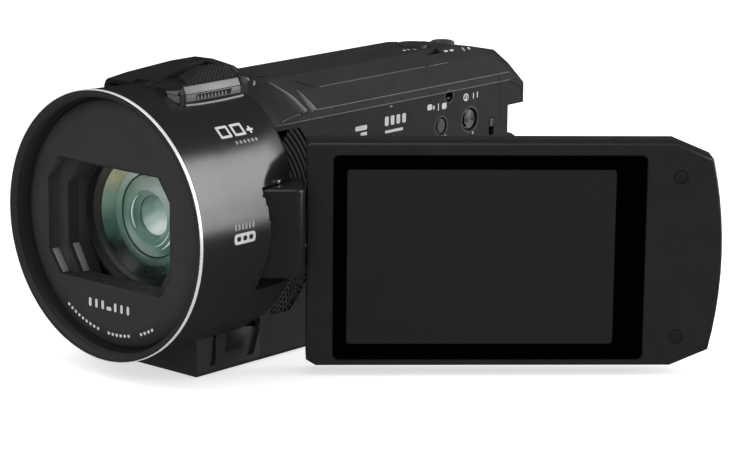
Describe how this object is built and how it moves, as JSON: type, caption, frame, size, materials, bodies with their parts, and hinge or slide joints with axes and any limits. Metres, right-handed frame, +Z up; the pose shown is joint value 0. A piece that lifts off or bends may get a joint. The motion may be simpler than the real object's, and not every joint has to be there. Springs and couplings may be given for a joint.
{
  "type": "camcorder",
  "caption": "Hand-held camcorder with a large front lens, swing-out screen on a two-way hinge, top microphone, slide-in battery and hand strap.",
  "frame": {"origin": "mouth of the tripod socket, in the middle of the base under the lens axis", "axes": "+Z up, -Y the way the lens looks, +X the side that the screen opens on"},
  "size_m": [0.1456, 0.1378, 0.0731],
  "materials": {
    "casing_plastic": "satin",
    "base_plastic": "matte",
    "barrel_gloss": "glossy",
    "silver_trim": "polished",
    "face_plate_plastic": "matte",
    "optical_glass": "clear",
    "lens_interior": "matte",
    "bright_steel": "satin",
    "circuit_board": "satin",
    "sensor_glass": "glossy",
    "mic_black": "matte",
    "brass_contact": "satin",
    "speaker_black": "matte",
    "screen_frame": "satin",
    "screen_glass": "glossy",
    "display_panel": "glossy",
    "black_rubber": "matte",
    "power_metal": "spun",
    "record_red": "satin",
    "battery_plastic": "satin",
    "card_plastic": "satin",
    "strap_fabric": "woven",
    "strap_leather": "grained"
  },
  "bodies": {
    "body": {"left_shell": "casing_plastic", "right_shell": "casing_plastic", "top_cover": "casing_plastic", "rear_cover": "casing_plastic", "base_plate": "base_plastic", "lower_front_cover": "casing_plastic", "barrel_cover": "barrel_gloss", "front_bezel": "barrel_gloss", "trim_ring": "silver_trim", "lens_face_plate": "face_plate_plastic", "front_glass": "optical_glass", "lens_tube": "lens_interior", "rear_lens": "lens_interior", "guide_rods": "bright_steel", "iris_unit": "lens_interior", "zoom_motor": "bright_steel", "image_sensor": "sensor_glass", "sensor_board": "circuit_board", "main_board": "circuit_board", "control_board": "circuit_board", "mic_housing": "mic_black", "mic_grille": "mic_black", "mic_trim": "silver_trim", "mic_capsules": "brass_contact", "speaker": "speaker_black", "side_vent": "casing_plastic", "hinge_bracket": "bright_steel", "hinge_pin": "bright_steel", "lid_sensor": "black_rubber", "battery_cradle": "base_plastic", "battery_contacts": "brass_contact", "terminal_sockets": "bright_steel", "tripod_bush": "bright_steel", "card_slot": "bright_steel", "memory_card": "card_plastic", "strap_band": "strap_fabric", "strap_pad": "strap_leather", "strap_anchors": "casing_plastic", "base_screws": "bright_steel"},
    "screen_arm": {"hinge_block": "barrel_gloss", "swivel_shaft": "bright_steel"},
    "screen": {"lcd_front_frame": "screen_frame", "lcd_back_cover": "screen_frame", "lcd_glass": "screen_glass", "lcd_display": "display_panel", "lcd_board": "circuit_board", "lcd_bumpers": "black_rubber"},
    "power_key": {"power_button": "power_metal"},
    "mode_key": {"mode_button": "casing_plastic"},
    "zoom_rocker": {"zoom_lever": "casing_plastic"},
    "photo_key": {"photo_button": "casing_plastic"},
    "record_key": {"record_button": "record_red"},
    "battery_pack": {"battery": "battery_plastic"},
    "latch_slider": {"battery_latch": "casing_plastic"},
    "socket_door": {"terminal_door": "casing_plastic"},
    "zoom_lens": {"zoom_group": "lens_interior"},
    "focus_lens": {"focus_group": "lens_interior"}
  },
  "joints": [
    {"name": "screen_swing", "type": "hinge", "parent": "body", "child": "screen_arm", "pos_m": [0.0265, -0.0325, 0.0369], "axis": [0, 0, -1], "range_deg": [-46.4, 43.6]},
    {"name": "screen_turn", "type": "hinge", "parent": "screen_arm", "child": "screen", "pos_m": [0.02351, -0.02936, 0.0295], "axis": [0.7242, 0.6896, 0], "range_deg": [0, 25]},
    {"name": "power_press", "type": "slide", "parent": "body", "child": "power_key", "axis": [-1, 0, 0], "range_m": [0, 0.0006], "stiffness_N_per_m": 600},
    {"name": "mode_press", "type": "slide", "parent": "body", "child": "mode_key", "axis": [-1, 0, 0], "range_m": [0, 0.0006], "stiffness_N_per_m": 600},
    {"name": "zoom_turn", "type": "hinge", "parent": "body", "child": "zoom_rocker", "pos_m": [0.0023, 0.0581, 0.0659], "axis": [0, 0, 1], "range_deg": [-14, 14], "stiffness_Nm_per_rad": 0.02},
    {"name": "photo_press", "type": "slide", "parent": "body", "child": "photo_key", "axis": [0, 0, -1], "range_m": [0, 0.0006], "stiffness_N_per_m": 600},
    {"name": "record_press", "type": "slide", "parent": "body", "child": "record_key", "axis": [0, -1, 0], "range_m": [0, 0.0008], "stiffness_N_per_m": 600},
    {"name": "battery_slide", "type": "slide", "parent": "body", "child": "battery_pack", "axis": [0, 1, 0], "range_m": [0, 0.034]},
    {"name": "latch_slide", "type": "slide", "parent": "body", "child": "latch_slider", "axis": [0, 0, -1], "range_m": [0, 0.0019], "stiffness_N_per_m": 300},
    {"name": "door_swing", "type": "hinge", "parent": "body", "child": "socket_door", "pos_m": [0.0165, 0.0297, 0.0189], "axis": [0, 0, 1], "range_deg": [0, 90]},
    {"name": "zoom_travel", "type": "slide", "parent": "body", "child": "zoom_lens", "axis": [0, 1, 0], "range_m": [-0.003, 0.009]},
    {"name": "focus_travel", "type": "slide", "parent": "body", "child": "focus_lens", "axis": [0, 1, 0], "range_m": [-0.005, 0.003]}
  ]
}
